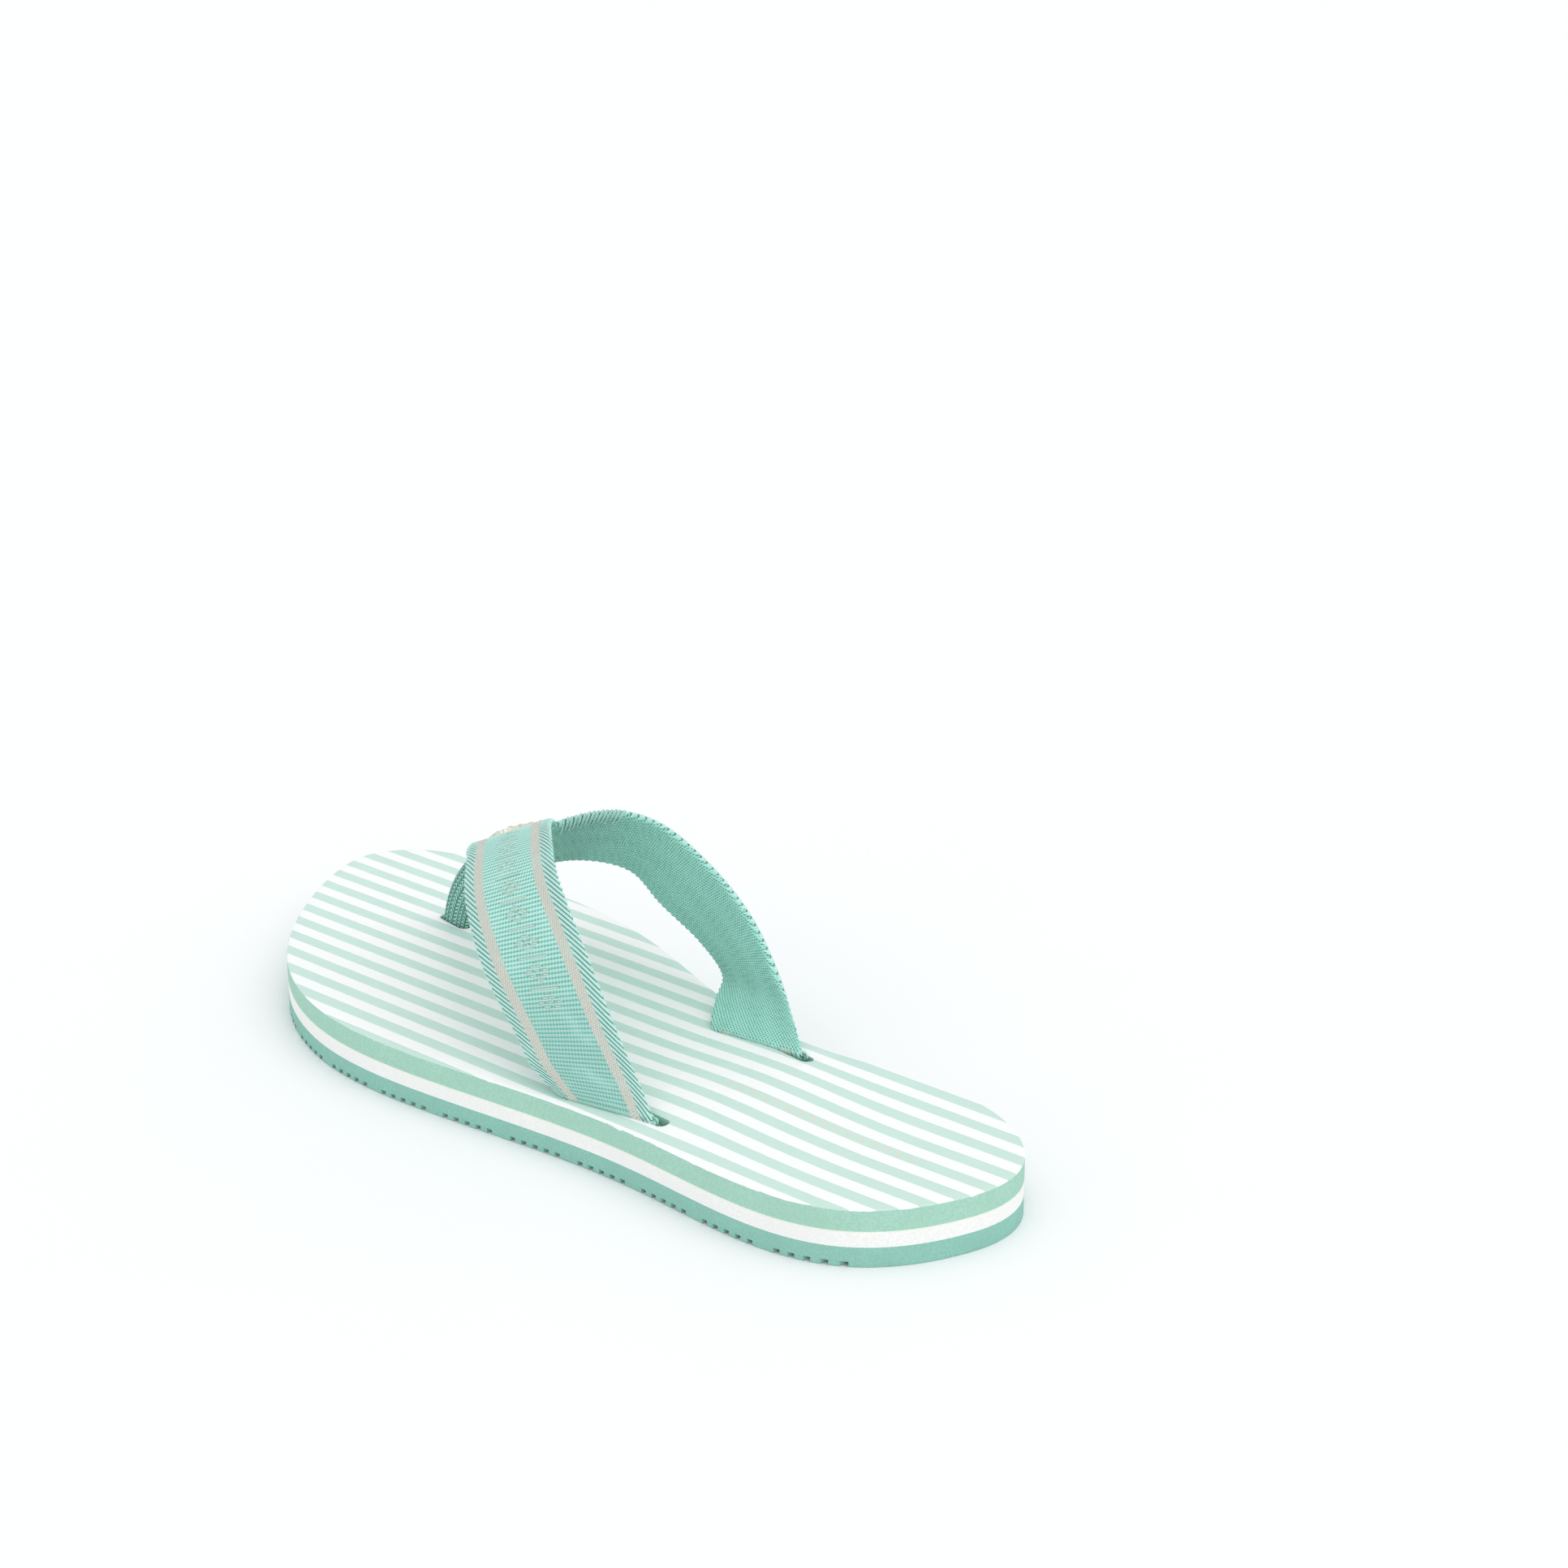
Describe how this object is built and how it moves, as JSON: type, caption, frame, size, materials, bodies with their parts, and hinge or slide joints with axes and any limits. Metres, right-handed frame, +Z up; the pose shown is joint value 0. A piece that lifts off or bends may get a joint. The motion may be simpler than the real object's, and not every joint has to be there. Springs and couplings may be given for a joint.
{
  "type": "flip flop",
  "caption": "Left-foot flip flop with a layered foam sole, a striped top sheet and two wide woven webbing straps joined at a toe post.",
  "frame": {"origin": "on the floor, under the middle of the sole's own rectangle", "axes": "+X from heel to toe, +Y to the wearer's left (outer side of the left foot), +Z up"},
  "size_m": [0.257, 0.0903, 0.0628],
  "materials": {
    "printed_sheet": "matte printed sheet, mint stripes on white",
    "mint_foam": "matte closed-cell foam, fine grain",
    "white_foam": "matte closed-cell foam",
    "outsole_rubber": "matte foam rubber with tread grooves",
    "webbing": "woven webbing, ribbed centre and twill edges",
    "post_webbing": "thick braided webbing",
    "patch_leather": "matte cream patch",
    "cream_thread": "sewing thread",
    "mint_thread": "sewing thread",
    "label_fabric": "woven label",
    "grey_thread": "sewing thread",
    "plug_rubber": "matte moulded rubber"
  },
  "bodies": {
    "rear": {"top_sheet_rear": "printed_sheet", "top_foam_rear": "mint_foam", "midsole_rear": "white_foam", "outsole_rear": "outsole_rubber", "lateral_strap": "webbing", "medial_strap": "webbing", "toe_post": "post_webbing", "apex_patch": "patch_leather", "patch_stitching": "cream_thread", "strap_seam_stitching": "mint_thread", "inner_label": "label_fabric", "label_stitching": "grey_thread", "lateral_anchor_plug": "plug_rubber", "medial_anchor_plug": "plug_rubber"},
    "forefoot": {"top_sheet_front": "printed_sheet", "top_foam_front": "mint_foam", "midsole_front": "white_foam", "outsole_front": "outsole_rubber", "toe_anchor_plug": "plug_rubber"}
  },
  "joints": [
    {"name": "toe_flex", "type": "hinge", "parent": "rear", "child": "forefoot", "pos_m": [0.04, 0, 0.0135], "axis": [0, -1, 0], "range_deg": [0, 30], "stiffness_Nm_per_rad": 0.4, "deforming": ["toe_post"]}
  ]
}
